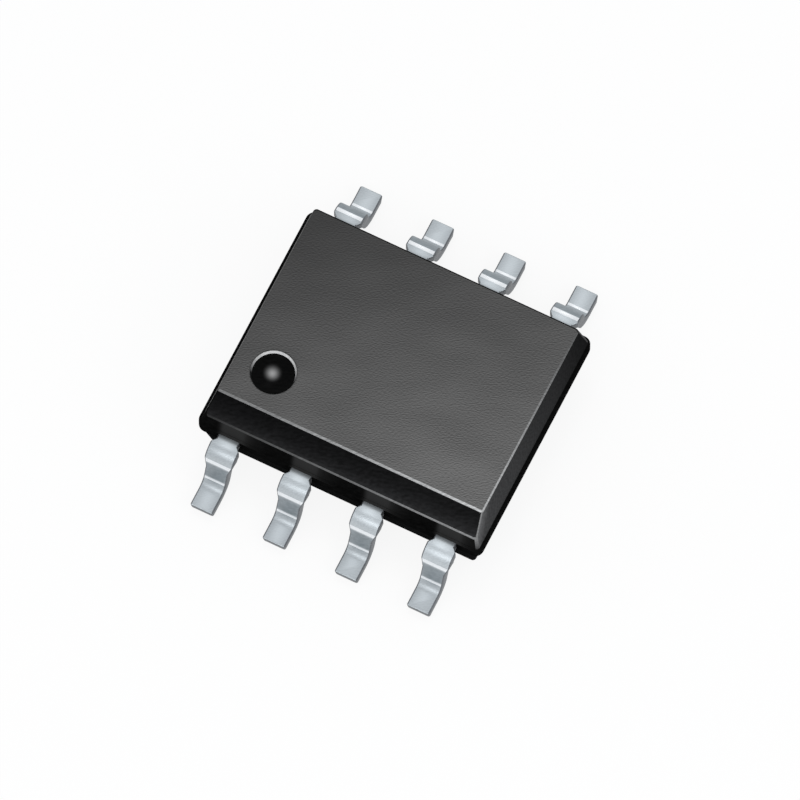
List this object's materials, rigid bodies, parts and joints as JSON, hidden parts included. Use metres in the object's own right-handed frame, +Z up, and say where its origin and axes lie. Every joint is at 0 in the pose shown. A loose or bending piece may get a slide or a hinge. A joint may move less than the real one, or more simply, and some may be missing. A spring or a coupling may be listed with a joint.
{
  "type": "clock buffer chip",
  "caption": "Small-outline surface-mount chip with a bevelled black moulded body, a dimple in one corner and gull-wing tin leads along both long sides, for spreading a clock signal.",
  "frame": {"origin": "middle of the package on the plane that the feet rest on", "axes": "+X along the rows of leads, from lead 1 to lead 4; +Y across the body, away from the bevelled side; +Z up"},
  "size_m": [0.005, 0.006, 0.0016],
  "materials": {
    "epoxy": "black moulding compound, grained on top and smooth on the walls",
    "tin": "matte tin plate over copper alloy",
    "copper": "bare copper alloy",
    "adhesive": "silver-filled epoxy",
    "silicon": "polished silicon",
    "gold": "drawn gold wire"
  },
  "bodies": {
    "root": {"mould_body": "epoxy", "lead_1": "tin", "lead_2": "tin", "lead_3": "tin", "lead_4": "tin", "lead_5": "tin", "lead_6": "tin", "lead_7": "tin", "lead_8": "tin", "die_pad": "copper", "die_attach": "adhesive", "die": "silicon", "wire_1": "gold", "wire_2": "gold", "wire_3": "gold", "wire_4": "gold", "wire_5": "gold", "wire_6": "gold", "wire_7": "gold", "wire_8": "gold"}
  },
  "joints": []
}
